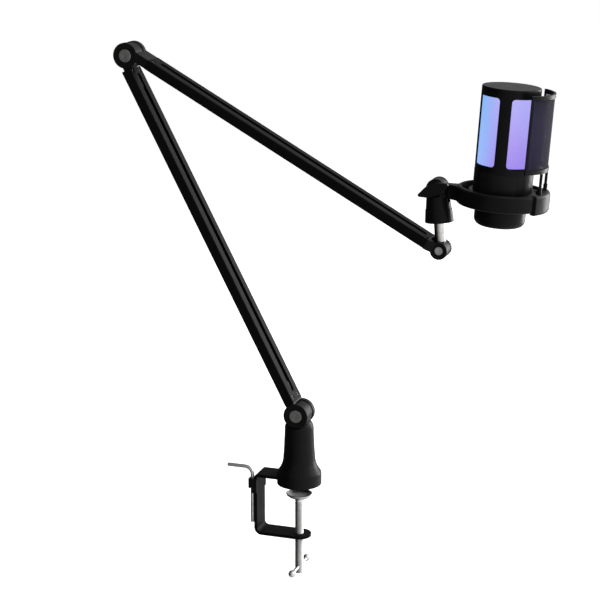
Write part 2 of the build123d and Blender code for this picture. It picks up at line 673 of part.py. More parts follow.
def make_mount_socket():
    """The tapered socket that screws onto the stud, with two ears for the tilting arm."""
    ear_outer, ear_inner = 7.3, 4.05
    insert_radius, insert_top = 7.5, 43.0
    shoulder = PIVOT_RISE - 7.0
    with BuildPart() as socket:
        with BuildSketch(STUD_SIDE):
            with BuildLine():
                Polyline((0, SOCKET_BOTTOM), (12.4, SOCKET_BOTTOM), (11.5, 35.5), (11.1, 35.9),
                         (9.9, shoulder), (8.7, shoulder + 1.6), (0, shoulder + 1.6), close=True)
            make_face()
        revolve(axis=STUD_AXIS)
        with BuildSketch(STUD_SIDE):
            with Locations((0, PIVOT_RISE)):
                Circle(PIVOT_RADIUS)
            with Locations((0, PIVOT_RISE - 4)):
                Rectangle(2 * PIVOT_RADIUS, 8)
        extrude(amount=ear_outer, both=True)
        with BuildSketch(STUD_SIDE):
            with Locations((0, PIVOT_RISE)):
                Circle(PIVOT_RADIUS + SADDLE_GAP)
            with Locations((10, PIVOT_RISE - 1.5)):
                Rectangle(20, 22)
        extrude(amount=ear_inner, both=True, mode=Mode.SUBTRACT)
        with BuildSketch(STUD.offset(SOCKET_BOTTOM)):
            Circle(insert_radius)
        extrude(amount=insert_top - SOCKET_BOTTOM, mode=Mode.SUBTRACT)
        with BuildSketch(STUD_SIDE):
            with Locations((0, PIVOT_RISE)):
                Circle(WING_STUD_RADIUS + RUNNING_GAP)
        extrude(amount=20, both=True, mode=Mode.SUBTRACT)
        with BuildSketch(STUD_SIDE.offset(-ear_outer)):
            with Locations((0, PIVOT_RISE)):
                RegularPolygon(4.7, 6)
        extrude(amount=2.4, mode=Mode.SUBTRACT)
    save(socket, "mount_socket")

    insert_low = SOCKET_BOTTOM + 0.5
    insert = sleeve(STUD_SIDE, STUD_AXIS, STUD_RADIUS + RUNNING_GAP, insert_radius, insert_low, insert_top)
    save(insert, "thread_insert")

    with BuildPart() as nut:
        with BuildSketch(STUD_SIDE.offset(-ear_outer)):
            with Locations((0, PIVOT_RISE)):
                RegularPolygon(4.6, 6)
                Circle(WING_STUD_RADIUS + RUNNING_GAP, mode=Mode.SUBTRACT)
        extrude(amount=2.35)
    save(nut, "wing_nut_insert")


def make_wing_screw():
    """The wing screw that locks the tilt: a steel stud and a two-winged plastic knob."""
    face = turned(Plane(origin=PIVOT, x_dir=STUD.x_dir, z_dir=(0, -1, 0)), WING_TURN)
    with BuildPart() as stud:
        with BuildSketch(face.offset(-8.6)):
            Circle(WING_STUD_RADIUS)
        extrude(amount=20.6)
    save(stud, "wing_screw_stud")

    blade = 11.3
    with BuildPart() as knob:
        with BuildSketch(face.offset(7.4)):
            Circle(5.4)
        extrude(amount=7.6, taper=6)
        with BuildSketch(face.offset(blade)):
            with BuildLine():
                Polyline((-14.3, -0.7), (-6.0, -4.9), (6.0, -4.9), (13.4, -1.0), (13.4, 1.0),
                         (6.0, 4.9), (-6.0, 4.9), (-14.3, 1.4), close=True)
            make_face()
        extrude(amount=4.2)
        fillet(knob.faces().sort_by(Axis(PIVOT, (0, -1, 0)))[-1].edges(), 0.6)
        with BuildSketch(face.offset(7.4)):
            Circle(WING_STUD_RADIUS)
        extrude(amount=4.6, mode=Mode.SUBTRACT)
    save(knob, "wing_knob")


def make_mount_ring():
    """The outer ring of the shock mount with its arm and the hub that tilts on the socket."""
    arm_high, hub_half = 4.6, 3.8
    hub = side_of(ARM_PIVOT)
    with BuildPart() as ring:
        with BuildSketch(MIC_SIDE):
            with Locations(((RING_INNER + RING_RADIUS) / 2, (RING_LOW + RING_HIGH) / 2)):
                Rectangle(RING_RADIUS - RING_INNER, RING_HIGH - RING_LOW)
        revolve(axis=MIC_AXIS)
        outer = ring.edges().filter_by(GeomType.CIRCLE).sort_by(SortBy.RADIUS)[-2:]
        fillet(outer, 2.2)
        with BuildSketch(ARM_PIVOT.offset(RING_LOW)):
            with BuildLine():
                Polyline((0, -hub_half), (11.0, -hub_half), (18.0, -6.6), (24.0, -14.0), (24.0, 14.0),
                         (18.0, 6.6), (11.0, hub_half), (0, hub_half), close=True)
            make_face()
        extrude(amount=arm_high - RING_LOW)
        with BuildSketch(MIC.offset(-10)):
            Circle(RING_INNER)
        extrude(amount=20, mode=Mode.SUBTRACT)
        with BuildSketch(hub):
            Circle(PIVOT_RADIUS - 0.1)
        extrude(amount=hub_half, both=True)
        with BuildSketch(hub):
            Circle(WING_STUD_RADIUS + RUNNING_GAP)
        extrude(amount=20, both=True, mode=Mode.SUBTRACT)
        add(sector(MIC, 30.0, 45.0, -10, 10, SOCKET_SPAN + 0.3), mode=Mode.SUBTRACT)
    save(ring, "mount_ring")

    socket_low, socket_high = -9.6, 7.2
    with BuildPart() as socket:
        add(sector(MIC, 34.3, 40.6, socket_low, socket_high, SOCKET_SPAN))
        round_edges = socket.edges().filter_by(GeomType.CIRCLE).sort_by(SortBy.RADIUS)[-2:]
        fillet(round_edges, 2.6)
        add(sector(MIC, 32.6, 34.7, -5.0, 5.0, SOCKET_SPAN + 3.0))
        with BuildSketch(MIC.offset(socket_high)):
            with PolarLocations(FILTER_RADIUS, 2, start_angle=-PRONG_ANGLE, angular_range=4 * PRONG_ANGLE):
                Circle(PRONG_RADIUS + RUNNING_GAP)
        extrude(amount=-11.0, mode=Mode.SUBTRACT)
    save(socket, "filter_socket")

    cradle = sleeve(MIC_SIDE, MIC_AXIS, LOWER_RADIUS + 0.02, CRADLE_RADIUS, -5.0, 4.5)
    save(cradle, "cradle_ring")
    with BuildPart() as blocks:
        for corner in (45, 135, 225, 315):
            add(sector(turned(MIC, corner), CRADLE_RADIUS + 0.02, ISOLATOR_OUTER, -4.0, 4.0, 8.0))
    save(blocks, "rubber_isolators")


# ---------------------------------------------------------------- microphone

def make_mic_shell():
    """The cage with its four tall windows, the cap above it and what shows through the windows."""
    with BuildPart() as shell:
        add(sleeve(MIC_SIDE, MIC_AXIS, MIC_RADIUS - SHELL_WALL, MIC_RADIUS, SEAM, CAP_BOTTOM).part)
        half_angle = 45 - POST_HALF_ANGLE
        width = 2 * MIC_RADIUS * sin(radians(half_angle))
        for corner in (45, 135, 225, 315):
            outward = turned(MIC, corner + CAGE_YAW)
            window = Plane(origin=outward.from_local_coords((12, 0, (WINDOW_LOW + WINDOW_HIGH) / 2)),
                           x_dir=outward.y_dir, z_dir=outward.x_dir)
            with BuildSketch(window):
                RectangleRounded(width, WINDOW_HIGH - WINDOW_LOW, 2.8)
            extrude(amount=20, mode=Mode.SUBTRACT)
    save(shell, "mic_shell")

    with BuildPart() as cap:
        with BuildSketch(MIC.offset(CAP_BOTTOM + 0.1)):
            Circle(MIC_RADIUS)
        extrude(amount=MIC_TOP - CAP_BOTTOM - 0.1)
        fillet(cap.faces().sort_by(MIC_AXIS)[-1].edges(), 0.9)
        with BuildSketch(MIC.offset(CAP_BOTTOM - 3)):
            Circle(MIC_RADIUS - SHELL_WALL - 0.05)
            Circle(MIC_RADIUS - SHELL_WALL - 0.6, mode=Mode.SUBTRACT)
        extrude(amount=3.1)
    save(cap, "top_cap")

    inside = MIC_RADIUS - SHELL_WALL
    save(sleeve(MIC_SIDE, MIC_AXIS, inside - 0.5, inside - 0.05, SEAM + 1.5, CAP_BOTTOM - 3.2),
         "grille_mesh")
    save(sleeve(MIC_SIDE, MIC_AXIS, inside - 2.2, inside - 0.9, SEAM + 2.6, CAP_BOTTOM - 3.4),
         "light_diffuser")
    save(sleeve(MIC_SIDE, MIC_AXIS, 12.0, inside - 2.5, SEAM + 2.6, SEAM + 4.2), "led_board")


def make_mic_inside():
    """The capsule on its rubber holder, the circuit board and the gain control."""
    capsule_height = 62.0
    holder_low = SEAM + 4.3
    with BuildPart() as capsule:
        with BuildSketch(MIC_SIDE):
            with Locations((0, capsule_height)):
                Circle(8.0)
        extrude(amount=3.4, both=True)
        chamfer(capsule.edges().filter_by(GeomType.CIRCLE), 0.4)
    save(capsule, "capsule")

    with BuildPart() as holder:
        with BuildSketch(MIC.offset(holder_low)):
            Circle(13.5)
        extrude(amount=2.0)
        with BuildSketch(MIC.offset(holder_low + 2.0)):
            Rectangle(24.0, 10.0)
        extrude(amount=capsule_height + 11.0 - holder_low - 2.0)
        with BuildSketch(MIC_SIDE):
            with Locations((0, capsule_height)):
                Circle(8.05)
        extrude(amount=20, both=True, mode=Mode.SUBTRACT)
    save(holder, "capsule_holder")

    board_back = 6.0
    with BuildPart() as board:
        with BuildSketch(MIC_SIDE.offset(-board_back)):
            with Locations((0, 9.5)):
                Rectangle(34.0, 24.0)
        extrude(amount=-1.6)
        with BuildSketch(MIC_SIDE.offset(-board_back)):
            with Locations((-8, 12), (7, 15), (9, 4)):
                Rectangle(6.0, 6.0)
        extrude(amount=1.2)
    save(board, "main_board")


def make_mic_bottom():
    """The lower housing, its blank label, the USB-C inlet, the gain control and its knob."""
    port_height, port_width, port_thick = 14.0, 9.0, 3.3
    bush_hole = 4.6
    with BuildPart() as housing:
        with BuildSketch(MIC.offset(HOUSING_FLOOR)):
            Circle(LOWER_RADIUS)
        extrude(amount=SEAM - 0.1 - HOUSING_FLOOR)
        with BuildSketch(MIC.offset(HOUSING_FLOOR + 2)):
            Circle(LOWER_RADIUS - 2)
        extrude(amount=40, mode=Mode.SUBTRACT)
        with BuildSketch(MIC.offset(HOUSING_FLOOR)):
            Circle(bush_hole)
        extrude(amount=2, mode=Mode.SUBTRACT)
        add(sector(turned(MIC, -90), LOWER_RADIUS - 0.3, LOWER_RADIUS + 1, LABEL_LOW - 0.1,
                   LABEL_HIGH + 0.1, LABEL_HALF_ANGLE + 0.3), mode=Mode.SUBTRACT)
        back = Plane(origin=MIC.from_local_coords((0, LOWER_RADIUS + 1, port_height)),
                     x_dir=MIC.x_dir, z_dir=MIC.y_dir)
        with BuildSketch(back):
            SlotOverall(port_width + 0.2, port_thick + 0.2)
        extrude(amount=-5, mode=Mode.SUBTRACT)
    save(housing, "lower_housing")

    label = sector(turned(MIC, -90), LOWER_RADIUS - 0.29, LOWER_RADIUS, LABEL_LOW,
                   LABEL_HIGH, LABEL_HALF_ANGLE)
    with BuildPart() as plate:
        add(label)
    save(plate, "label_plate")

    mouth = Plane(origin=MIC.from_local_coords((0, LOWER_RADIUS - 0.4, port_height)),
                  x_dir=MIC.x_dir, z_dir=MIC.y_dir)
    with BuildPart() as port:
        with BuildSketch(mouth):
            SlotOverall(port_width, port_thick)
        extrude(amount=-7.2)
        with BuildSketch(mouth):
            SlotOverall(port_width - 0.7, port_thick - 0.7)
        extrude(amount=-6.2, mode=Mode.SUBTRACT)
        with BuildSketch(mouth.offset(-6.2)):
            Rectangle(6.6, 0.7)
        extrude(amount=5.0)
    save(port, "usb_port")

    spindle = 3.0
    with BuildPart() as control:
        with BuildSketch(MIC.offset(HOUSING_FLOOR + 2.02)):
            Rectangle(11.0, 11.0)
        extrude(amount=5.2)
        with BuildSketch(MIC.offset(HOUSING_FLOOR)):
            Circle(bush_hole - 0.05)
        extrude(amount=2.1)
        with BuildSketch(MIC.offset(HOUSING_FLOOR)):
            Circle(spindle + RUNNING_GAP)
        extrude(amount=6.0, mode=Mode.SUBTRACT)
    save(control, "gain_control")

    top = HOUSING_FLOOR - 0.15
    grip = KNOB_RADIUS - 0.4
    with BuildPart() as knob:
        with BuildSketch(MIC_SIDE):
            with BuildLine():
                Polyline((0, KNOB_BOTTOM), (16.6, KNOB_BOTTOM))
                ThreePointArc((16.6, KNOB_BOTTOM), (20.3, KNOB_BOTTOM + 2.0), (grip, KNOB_BOTTOM + 6.2))
                Polyline((grip, KNOB_BOTTOM + 6.2), (grip, top - 2.6), (KNOB_RADIUS, top - 2.2),
                         (KNOB_RADIUS, top), (18.2, top), (18.2, top - 11.0), (6.0, top - 11.0),
                         (6.0, top), (spindle, top), (spindle, top + 5.2), (0, top + 5.2),
                         (0, KNOB_BOTTOM))
            make_face()
        revolve(axis=MIC_AXIS)
    save(knob, "gain_knob")


def make_pop_filter():
    """A curved frame and its woven screen on two wire prongs that plug into the ring."""
    rail, bar = 3.6, 1.6
    inner, outer = FILTER_RADIUS - 1.0, FILTER_RADIUS + 1.0
    opening_angle = FILTER_HALF_ANGLE - 180 * bar / (3.1416 * FILTER_RADIUS)
    with BuildPart() as frame:
        add(sector(MIC, inner, outer, FILTER_LOW, FILTER_HIGH, FILTER_HALF_ANGLE))
        add(sector(MIC, inner - 1, outer + 1, FILTER_LOW + rail, FILTER_HIGH - rail, opening_angle),
            mode=Mode.SUBTRACT)
        with BuildSketch(MIC.offset(FILTER_LOW)):
            with PolarLocations(FILTER_RADIUS, 2, start_angle=-PRONG_ANGLE, angular_range=4 * PRONG_ANGLE):
                Circle(0.75)
        extrude(amount=2.4, mode=Mode.SUBTRACT)
    save(frame, "filter_frame")

    with BuildPart() as screen:
        add(sector(MIC, FILTER_RADIUS - 0.25, FILTER_RADIUS + 0.25, FILTER_LOW + rail + 0.02,
                   FILTER_HIGH - rail - 0.02, opening_angle - 0.05))
    save(screen, "filter_screen")

    with BuildPart() as prongs:
        with BuildSketch(MIC.offset(-3.4)):
            with PolarLocations(FILTER_RADIUS, 2, start_angle=-PRONG_ANGLE, angular_range=4 * PRONG_ANGLE):
                Circle(PRONG_RADIUS)
        extrude(amount=10.7)
        with BuildSketch(MIC.offset(7.3)):
            with PolarLocations(FILTER_RADIUS, 2, start_angle=-PRONG_ANGLE, angular_range=4 * PRONG_ANGLE):
                Circle(1.8)
        extrude(amount=5.5)
        with BuildSketch(MIC.offset(12.8)):
            with PolarLocations(FILTER_RADIUS, 2, start_angle=-PRONG_ANGLE, angular_range=4 * PRONG_ANGLE):
                Circle(1.25)
        extrude(amount=FILTER_LOW - 0.05 - 12.8)
        with BuildSketch(MIC.offset(FILTER_LOW - 0.05)):
            with PolarLocations(FILTER_RADIUS, 2, start_angle=-PRONG_ANGLE, angular_range=4 * PRONG_ANGLE):
                Circle(0.7)
        extrude(amount=2.35)
    save(prongs, "filter_prongs")


os.makedirs("parts", exist_ok=True)
make_clamp_frame()
make_base_housing()
make_base_fittings()
make_key_clip()
make_hex_key()
make_clamp_screw()
make_swivel()
make_arms()
make_stud()
make_mount_socket()
make_wing_screw()
make_mount_ring()
make_mic_shell()
make_mic_inside()
make_mic_bottom()
make_pop_filter()
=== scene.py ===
"""A condenser microphone on a two-section boom arm with a table clamp, seen in a white studio."""
import json
import math

import bmesh
import bpy
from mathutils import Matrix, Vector


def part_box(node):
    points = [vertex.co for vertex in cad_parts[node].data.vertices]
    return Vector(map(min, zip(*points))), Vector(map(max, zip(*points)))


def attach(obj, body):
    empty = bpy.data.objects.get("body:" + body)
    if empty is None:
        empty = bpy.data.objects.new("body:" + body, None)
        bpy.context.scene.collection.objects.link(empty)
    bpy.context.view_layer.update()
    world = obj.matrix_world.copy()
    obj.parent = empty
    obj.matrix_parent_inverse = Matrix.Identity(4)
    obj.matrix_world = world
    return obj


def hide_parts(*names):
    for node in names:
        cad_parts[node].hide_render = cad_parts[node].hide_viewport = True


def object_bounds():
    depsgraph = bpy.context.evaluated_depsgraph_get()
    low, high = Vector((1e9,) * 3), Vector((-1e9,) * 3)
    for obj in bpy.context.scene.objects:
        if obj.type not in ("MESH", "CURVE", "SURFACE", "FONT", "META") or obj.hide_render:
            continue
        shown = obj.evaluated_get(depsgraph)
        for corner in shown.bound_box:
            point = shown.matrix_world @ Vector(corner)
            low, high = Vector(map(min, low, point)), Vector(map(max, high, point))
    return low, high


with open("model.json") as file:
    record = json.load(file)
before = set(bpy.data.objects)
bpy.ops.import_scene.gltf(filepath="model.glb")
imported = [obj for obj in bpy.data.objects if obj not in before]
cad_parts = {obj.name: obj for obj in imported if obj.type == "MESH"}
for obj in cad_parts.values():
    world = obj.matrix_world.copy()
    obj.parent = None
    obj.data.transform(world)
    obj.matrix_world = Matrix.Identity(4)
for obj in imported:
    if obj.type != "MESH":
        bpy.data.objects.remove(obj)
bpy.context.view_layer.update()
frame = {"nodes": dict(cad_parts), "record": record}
BODY_OF = {node: body for body, nodes in frame["record"]["behaviour"]["bodies"].items() for node in nodes}
SLOT_OF = {part["node"]: part["material_slot"] for part in frame["record"]["subparts"]}
JOINTS = {joint["name"]: joint for joint in frame["record"]["behaviour"]["joints"]}
MIC_POINT = Vector(JOINTS["gain_knob_turn"]["pos_m"])
MIC_AXIS = Vector(JOINTS["gain_knob_turn"]["axis"])

MM = 0.001
WHITE = (1, 1, 1, 1)


# ---------------------------------------------------------------- node helpers

class Graph:
    """A material's node tree, built with short calls."""

    def __init__(self, name):
        self.material = bpy.data.materials.new(name)
        self.material.use_nodes = True
        self.tree = self.material.node_tree
        self.tree.nodes.clear()
        self.place = self.add("ShaderNodeTexCoord").outputs["Object"]

    def add(self, kind, **values):
        node = self.tree.nodes.new(kind)
        for key, value in values.items():
            setattr(node, key, value)
        return node

    def link(self, source, target):
        self.tree.links.new(source, target)

    def put(self, target, value):
        """Set an input to a number or colour, or link it to another node's output."""
        if isinstance(value, bpy.types.NodeSocket):
            self.link(value, target)
        else:
            target.default_value = value

    def noise(self, size_mm, detail=3.0, rough=0.55, where=None):
        node = self.add("ShaderNodeTexNoise")
        node.inputs["Scale"].default_value = 1 / (size_mm * MM)
        node.inputs["Detail"].default_value = detail
        node.inputs["Roughness"].default_value = rough
        self.link(where or self.place, node.inputs["Vector"])
        return node.outputs["Fac"]

    def cells(self, size_mm):
        node = self.add("ShaderNodeTexVoronoi", feature="SMOOTH_F1")
        node.inputs["Scale"].default_value = 1 / (size_mm * MM)
        self.link(self.place, node.inputs["Vector"])
        return node.outputs["Distance"]

    def stretch(self, x, y, z):
        """Object coordinates scaled along each axis: below 1 draws a pattern out, above 1 packs it."""
        node = self.add("ShaderNodeMapping")
        node.inputs["Scale"].default_value = (x, y, z)
        self.link(self.place, node.inputs["Vector"])
        return node.outputs[0]

    def math(self, operation, first, second=0.0):
        node = self.add("ShaderNodeMath", operation=operation)
        self.put(node.inputs[0], first)
        self.put(node.inputs[1], second)
        return node.outputs[0]

    def spread(self, value, low, high, to_low=0.0, to_high=1.0):
        """Map low..high to to_low..to_high, held at both ends."""
        node = self.add("ShaderNodeMapRange", clamp=True)
        for index, item in enumerate((value, low, high, to_low, to_high)):
            self.put(node.inputs[index], item)
        return node.outputs[0]

    def mix(self, factor, first, second):
        node = self.add("ShaderNodeMix", data_type="RGBA")
        self.put(node.inputs["Factor"], factor)
        self.put(node.inputs[6], colour(first))
        self.put(node.inputs[7], colour(second))
        return node.outputs[2]

    def mix_shaders(self, factor, first, second):
        node = self.add("ShaderNodeMixShader")
        self.put(node.inputs[0], factor)
        self.link(first, node.inputs[1])
        self.link(second, node.inputs[2])
        return node.outputs[0]

    def bump(self, height, depth_mm, strength):
        node = self.add("ShaderNodeBump")
        node.inputs["Strength"].default_value = strength
        node.inputs["Distance"].default_value = depth_mm * MM
        self.link(height, node.inputs["Height"])
        return node.outputs[0]

    def sharp_edges(self, radius_mm):
        """Near 1 along sharp edges and 0 on open faces."""
        bevel = self.add("ShaderNodeBevel", samples=4)
        bevel.inputs["Radius"].default_value = radius_mm * MM
        flat = self.add("ShaderNodeNewGeometry").outputs["Normal"]
        dot = self.add("ShaderNodeVectorMath", operation="DOT_PRODUCT")
        self.link(bevel.outputs[0], dot.inputs[0])
        self.link(flat, dot.inputs[1])
        return self.spread(dot.outputs["Value"], 0.995, 0.9)

    def worn_edges(self, radius_mm, size_mm, detail, low, high):
        """Sharp edges rubbed thin here and there."""
        rubbed = self.spread(self.noise(size_mm, detail), low, high)
        return self.math("MULTIPLY", self.sharp_edges(radius_mm), rubbed)

    def mottled(self, base, size_mm, detail, gain, start=0.3):
        """The base colour with faint lighter patches."""
        patches = self.spread(self.noise(size_mm, detail), start, 0.7)
        return self.mix(patches, base, [c * gain + 0.002 for c in base])

    def surface(self, **inputs):
        shader = self.add("ShaderNodeBsdfPrincipled")
        for name, value in inputs.items():
            self.put(shader.inputs[name.replace("_", " ")], value)
        return shader.outputs[0]

    def finish(self, shader):
        self.link(shader, self.add("ShaderNodeOutputMaterial").inputs["Surface"])
        return self.material


def colour(value):
    if isinstance(value, bpy.types.NodeSocket):
        return value
    return (*value[:3], 1.0)


# ---------------------------------------------------------------- materials

# How strongly black finishes reflect: most are satin, and coated strip and extrusions are dull.
SATIN = 0.085
DULL = 0.03


def moulded(name, base, rough, grain_mm=0.22, grain_depth=0.012, wear=0.25):
    """Moulded plastic or rubber: fine spark-eroded grain, faint flow marks, edges polished by handling."""
    g = Graph(name)
    edge = g.worn_edges(0.45, 5, 3, 0.35, 0.7)
    shade = g.mottled(base, 14, 4, 1.35, start=0.35)
    shade = g.mix(g.math("MULTIPLY", edge, wear), shade, [c * 2.2 + 0.012 for c in base])
    grain = g.spread(g.noise(1.3, 2), 0.3, 0.7, rough - 0.05, rough + 0.05)
    roughness = g.math("ADD", grain, g.math("MULTIPLY", edge, -0.12))
    normal = g.bump(g.cells(grain_mm), grain_depth, 0.55)
    return g.finish(g.surface(Base_Color=shade, Roughness=roughness, Normal=normal, Specular_IOR_Level=SATIN))


def painted(name, base, rough, orange_peel, shine=SATIN):
    """Sprayed or powder coated metal: orange peel, smears, edges where the paint is thin."""
    g = Graph(name)
    edge = g.worn_edges(0.4, 3.5, 4, 0.45, 0.75)
    shade = g.mottled(base, 22, 3, 1.25)
    shade = g.mix(g.math("MULTIPLY", edge, 0.3), shade, (0.09, 0.09, 0.095))
    smear = g.spread(g.noise(9, 5, 0.6, g.stretch(1, 1, 0.35)), 0.35, 0.75, -0.04, 0.06)
    roughness = g.math("ADD", smear, rough)
    normal = g.bump(g.noise(0.9, 2), orange_peel, 0.6)
    return g.finish(g.surface(Base_Color=shade, Roughness=roughness, Normal=normal, Specular_IOR_Level=shine))


def anodised(name, base, rough, grain):
    """Extruded aluminium, blasted and anodised black: fine die lines along its length."""
    g = Graph(name)
    lines = g.noise(0.35, 4, 0.6, g.stretch(*grain))
    edge = g.worn_edges(0.35, 4, 3, 0.5, 0.8)
    shade = g.mottled(base, 30, 3, 1.3)
    shade = g.mix(g.math("MULTIPLY", edge, 0.3), shade, (0.11, 0.11, 0.115))
    roughness = g.spread(lines, 0.3, 0.7, rough - 0.05, rough + 0.06)
    normal = g.bump(lines, 0.004, 0.5)
    return g.finish(g.surface(Base_Color=shade, Roughness=roughness, Normal=normal, Specular_IOR_Level=DULL))


def plated(name, base, rough, depth=0.0025):
    """Plated or bare metal with turning marks and duller patches."""
    g = Graph(name)
    marks = g.noise(0.4, 3, 0.6, g.stretch(1, 1, 0.06))
    patches = g.noise(6, 4)
    shade = g.mix(g.spread(patches, 0.42, 0.72), base, [c * 0.72 for c in base])
    roughness = g.math("ADD", g.spread(marks, 0.3, 0.7, rough * 0.75, rough * 1.3),
                       g.spread(patches, 0.5, 0.8, 0.0, 0.08))
    normal = g.bump(marks, depth, 0.5)
    return g.finish(g.surface(Base_Color=shade, Roughness=roughness, Metallic=1.0, Normal=normal))


def lit_window():
    """Light behind the windows: sky blue on the left, lavender in front, violet lower down."""
    g = Graph("lit_diffuser")
    low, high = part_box("light_diffuser")
    parts = g.add("ShaderNodeSeparateXYZ")
    g.link(g.place, parts.inputs[0])
    x, y, z = parts.outputs
    across = g.spread(x, low.x + 4 * MM, (low.x + high.x) / 2 - 1 * MM)
    upward = g.spread(z, low.z, high.z)
    sky = g.mix(upward, (0.34, 0.50, 0.96), (0.24, 0.48, 0.93))
    violet = g.mix(upward, (0.34, 0.24, 0.82), (0.50, 0.41, 0.90))
    soft = g.spread(g.noise(55, 1), 0.3, 0.7, -0.16, 0.16)
    lean = g.math("SUBTRACT", g.math("ADD", across, soft), g.math("MULTIPLY", upward, 0.3))
    glow = g.mix(g.spread(lean, -0.05, 0.85), sky, violet)
    weave = g.spread(g.cells(0.55), 0.1, 0.5, 0.90, 1.04)
    shader = g.surface(Base_Color=(0.02, 0.02, 0.03, 1), Roughness=0.6, Emission_Color=glow,
                       Emission_Strength=weave)
    return g.finish(shader)


def gauze():
    """The filter's plain weave, wrapped round the microphone: its gaps are about a tenth of its area."""
    g = Graph("filter_gauze")
    pitch, radius = 0.8 * MM, 36 * MM
    gap, gap_edge = 0.48, 0.08
    moved = g.add("ShaderNodeVectorMath", operation="SUBTRACT")
    g.link(g.place, moved.inputs[0])
    moved.inputs[1].default_value = MIC_POINT
    upright = g.add("ShaderNodeVectorRotate", rotation_type="Y_AXIS")
    g.link(moved.outputs[0], upright.inputs["Vector"])
    upright.inputs["Angle"].default_value = math.atan2(MIC_AXIS.x, MIC_AXIS.z)
    parts = g.add("ShaderNodeSeparateXYZ")
    g.link(upright.outputs[0], parts.inputs[0])
    x, y, z = parts.outputs
    round_way = g.math("MULTIPLY", g.math("ARCTAN2", y, x), math.pi * radius / pitch)
    up_way = g.math("MULTIPLY", z, math.pi / pitch)
    warp = g.math("ABSOLUTE", g.math("SINE", round_way))
    weft = g.math("ABSOLUTE", g.math("SINE", up_way))
    height = g.math("MAXIMUM", warp, weft)
    cover = g.spread(height, gap, gap + gap_edge)
    fuzz = g.spread(g.noise(3, 4), 0.3, 0.7)
    shade = g.mix(fuzz, (0.020, 0.020, 0.022), (0.034, 0.034, 0.037))
    cloth = g.surface(Base_Color=shade, Roughness=0.8, Sheen_Weight=0.15, Specular_IOR_Level=0.1,
                      Normal=g.bump(height, 0.12, 0.7))
    through = g.add("ShaderNodeBsdfTranslucent")
    through.inputs["Color"].default_value = (0.34, 0.33, 0.36, 1)
    threads = g.mix_shaders(0.55, cloth, through.outputs[0])
    clear = g.add("ShaderNodeBsdfTransparent").outputs[0]
    return g.finish(g.mix_shaders(cover, clear, threads))


MATERIALS = {
    "black_steel": painted("powder_coated_steel", (0.006, 0.006, 0.0063), 0.5, 0.012, shine=DULL),
    "black_housing": painted("satin_housing_paint", (0.0055, 0.0055, 0.0057), 0.38, 0.005),
    "black_joint": moulded("joint_nylon", (0.005, 0.005, 0.0052), 0.42),
    "black_aluminium": anodised("anodised_arm", (0.007, 0.007, 0.0072), 0.5, (6, 1, 6)),
    "black_plastic": moulded("clip_plastic", (0.005, 0.005, 0.0052), 0.45),
    "black_mount": moulded("mount_plastic", (0.0055, 0.0055, 0.0058), 0.38),
    "socket_plastic": moulded("socket_plastic", (0.022, 0.022, 0.023), 0.42),
    "black_body": painted("microphone_paint", (0.005, 0.005, 0.0054), 0.36, 0.004),
    "black_oxide": plated("black_oxide_steel", (0.17, 0.165, 0.16), 0.36),
    "steel_screw": plated("plain_steel", (0.32, 0.32, 0.325), 0.34),
    "steel_port": plated("stamped_steel", (0.60, 0.60, 0.61), 0.25),
    "chrome": plated("stud_chrome", (0.44, 0.43, 0.42), 0.16, depth=0.001),
    "zinc": plated("bright_zinc", (0.5, 0.5, 0.505), 0.3),
    "zinc_screw": plated("screw_zinc", (0.5, 0.497, 0.49), 0.36),
    "brass": plated("turned_brass", (0.70, 0.50, 0.22), 0.25),
    "rubber": moulded("pad_rubber", (0.022, 0.022, 0.022), 0.75, 0.5, 0.03, 0.1),
    "grey_rubber": moulded("isolator_rubber", (0.10, 0.10, 0.105), 0.7, 0.5, 0.03, 0.1),
    "nylon": moulded("natural_nylon", (0.70, 0.68, 0.62), 0.45),
    "pcb": moulded("circuit_board", (0.02, 0.11, 0.05), 0.35),
    "capsule": plated("capsule_brass", (0.68, 0.55, 0.30), 0.3),
    "label": moulded("label_panel", (0.013, 0.013, 0.014), 0.33, 0.15, 0.004),
    "filter_plastic": moulded("filter_plastic", (0.007, 0.007, 0.0074), 0.40),
    "diffuser": lit_window(),
    "screen": gauze(),
}
MATERIALS["grille"] = MATERIALS["diffuser"]

# Each node's finish is its slot's, but the prongs look like the filter's plastic.
FINISH_OF = {**SLOT_OF, "filter_prongs": "filter_plastic"}


def apply_material(thing, material):
    thing.data.materials.clear()
    thing.data.materials.append(material)


for node, thing in frame["nodes"].items():
    apply_material(thing, MATERIALS[FINISH_OF[node]])


# ---------------------------------------------------------------- pieces with finer shapes

# How far each node's sharp edges are rounded, in millimetres.
SOFT_EDGES = {
    "lower_arm_base_fork": 0.5, "upper_arm_elbow_fork": 0.5, "upper_arm_tip_fork": 0.5,
    "lower_arm_elbow_tongue": 0.4, "stud_tongue": 0.4, "swivel_knuckle": 0.5,
    "lower_arm_tube": 0.25, "upper_arm_tube": 0.25, "clamp_frame": 0.4, "base_housing": 0.5,
    "hex_key_clip": 0.3, "hex_key": 0.2, "mount_socket": 0.5, "mount_ring": 0.6, "filter_socket": 0.6,
    "wing_knob": 0.5, "cradle_ring": 0.3, "top_cap": 0.3, "mic_shell": 0.3, "lower_housing": 0.2,
    "gain_knob": 0.4, "filter_frame": 0.4, "pressure_dish": 0.2, "tommy_bar": 0.2,
    "elbow_bolt": 0.2, "base_hinge_bolt": 0.2, "tip_bolt": 0.15, "tommy_bar_ends": 0.1,
    "threaded_stud": 0.2, "table_pad": 0.4, "filter_prongs": 0.1, "thread_insert": 0.15,
    "lower_arm_screws": 0.15, "upper_arm_screws": 0.15, "wing_screw_stud": 0.1,
}


def smooth(mesh, angle):
    """Shade a mesh smooth, apart from edges sharper than the angle in degrees."""
    for face in mesh.polygons:
        face.use_smooth = True
    mesh.set_sharp_from_angle(angle=math.radians(angle))


